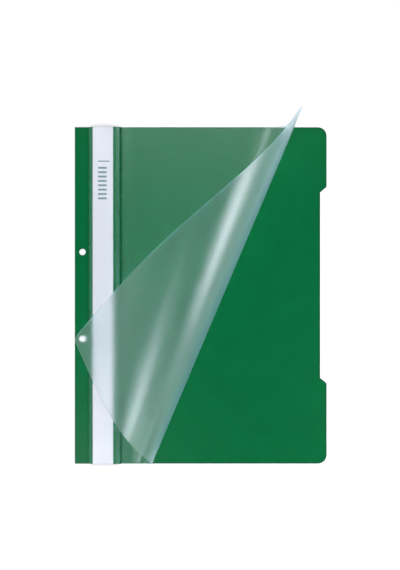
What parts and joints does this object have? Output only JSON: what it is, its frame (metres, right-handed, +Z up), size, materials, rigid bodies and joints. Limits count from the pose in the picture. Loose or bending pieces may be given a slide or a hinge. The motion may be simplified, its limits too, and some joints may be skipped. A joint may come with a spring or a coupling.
{
  "type": "fastener folder",
  "caption": "Flat file for A4 sheets: sheet back cover, filing strip with label pocket, prong fastener and a clear front cover rolled back.",
  "frame": {"origin": "middle of the back cover's underside, on the surface that the folder lies on", "axes": "+X across the folder to the right of the picture, +Y up the page, +Z up from the table"},
  "size_m": [0.232, 0.3184, 0.0658],
  "materials": {
    "green_sheet": "fine matt embossed polypropylene sheet, green",
    "clear_film": "clear polypropylene film with a slight frost",
    "label_paper": "smooth white paper",
    "prong_steel": "soft steel strip, satin",
    "white_plastic": "satin moulded plastic, white"
  },
  "bodies": {
    "folder": {"back_cover": "green_sheet", "filing_margin": "green_sheet", "carrier_strip": "green_sheet", "prong_base": "prong_steel", "compressor_bar": "white_plastic"},
    "front_strip": {"label_flap": "green_sheet", "pocket_film": "clear_film"},
    "cover": {"front_cover": "clear_film"},
    "label": {"label_insert": "label_paper"},
    "prong_upper": {"prong_upper": "prong_steel"},
    "prong_lower": {"prong_lower": "prong_steel"},
    "lock_upper": {"slide_lock_upper": "white_plastic"},
    "lock_lower": {"slide_lock_lower": "white_plastic"}
  },
  "joints": [
    {"name": "strip_fold", "type": "hinge", "parent": "folder", "child": "front_strip", "pos_m": [-0.1035, 0, 0.0008], "axis": [0, -1, 0], "range_deg": [0, 135]},
    {"name": "cover_crease", "type": "hinge", "parent": "front_strip", "child": "cover", "pos_m": [-0.07325, 0, 0.00217], "axis": [0, -1, 0], "range_deg": [0, 52.5], "deforming": ["front_cover"]},
    {"name": "label_slide", "type": "slide", "parent": "front_strip", "child": "label", "axis": [0, 1, 0], "range_m": [0, 0.3]},
    {"name": "prong_upper_fold", "type": "hinge", "parent": "folder", "child": "prong_upper", "pos_m": [-0.0875, 0.04, 0.002], "axis": [-1, 0, 0], "range_deg": [0, 90]},
    {"name": "prong_lower_fold", "type": "hinge", "parent": "folder", "child": "prong_lower", "pos_m": [-0.0875, -0.04, 0.002], "axis": [1, 0, 0], "range_deg": [0, 90]},
    {"name": "lock_upper_slide", "type": "slide", "parent": "folder", "child": "lock_upper", "axis": [0, -1, 0], "range_m": [0, 0.016]},
    {"name": "lock_lower_slide", "type": "slide", "parent": "folder", "child": "lock_lower", "axis": [0, 1, 0], "range_m": [0, 0.016]}
  ],
  "couplings": [
    {"joint": "cover_crease", "follows": "strip_fold", "ratio": 0.388},
    {"joint": "prong_upper_fold", "follows": "strip_fold", "ratio": 0.666},
    {"joint": "prong_lower_fold", "follows": "strip_fold", "ratio": 0.666}
  ]
}
